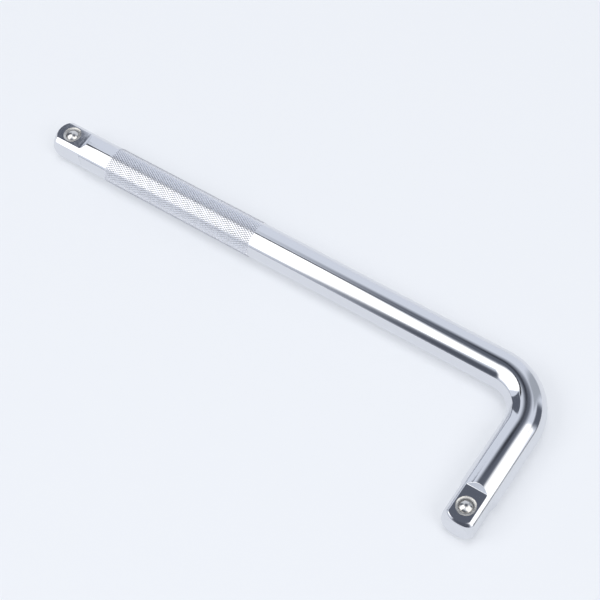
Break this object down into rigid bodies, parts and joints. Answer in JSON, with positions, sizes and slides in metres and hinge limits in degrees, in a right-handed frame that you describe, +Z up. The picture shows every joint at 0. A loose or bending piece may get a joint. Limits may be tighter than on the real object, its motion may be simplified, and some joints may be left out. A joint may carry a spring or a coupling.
{
  "type": "bent extension bar",
  "caption": "Round chrome bar bent to an L, with a knurled grip and a square drive with a sprung detent ball on each end.",
  "frame": {"origin": "middle of the bar's outline, on the surface that it lies on", "axes": "+X along the long arm towards the bend, -Y along the short arm away from the bend, +Z up, the way both detent balls face"},
  "size_m": [0.246, 0.074, 0.0155],
  "materials": {
    "bar_chrome": "bright chrome plate on alloy steel",
    "ball_steel": "polished hardened steel",
    "spring_steel": "drawn spring wire"
  },
  "bodies": {
    "bar": {"bent_bar": "bar_chrome", "long_end_spring": "spring_steel", "short_end_spring": "spring_steel"},
    "long_ball": {"long_end_ball": "ball_steel"},
    "short_ball": {"short_end_ball": "ball_steel"}
  },
  "joints": [
    {"name": "long_ball_slide", "type": "slide", "parent": "bar", "child": "long_ball", "axis": [0, 0, -1], "range_m": [0, 0.0012], "stiffness_N_per_m": 2280, "springref_m": -0.002, "deforming": ["long_end_spring"]},
    {"name": "short_ball_slide", "type": "slide", "parent": "bar", "child": "short_ball", "axis": [0, 0, -1], "range_m": [0, 0.0012], "stiffness_N_per_m": 2280, "springref_m": -0.002, "deforming": ["short_end_spring"]}
  ]
}
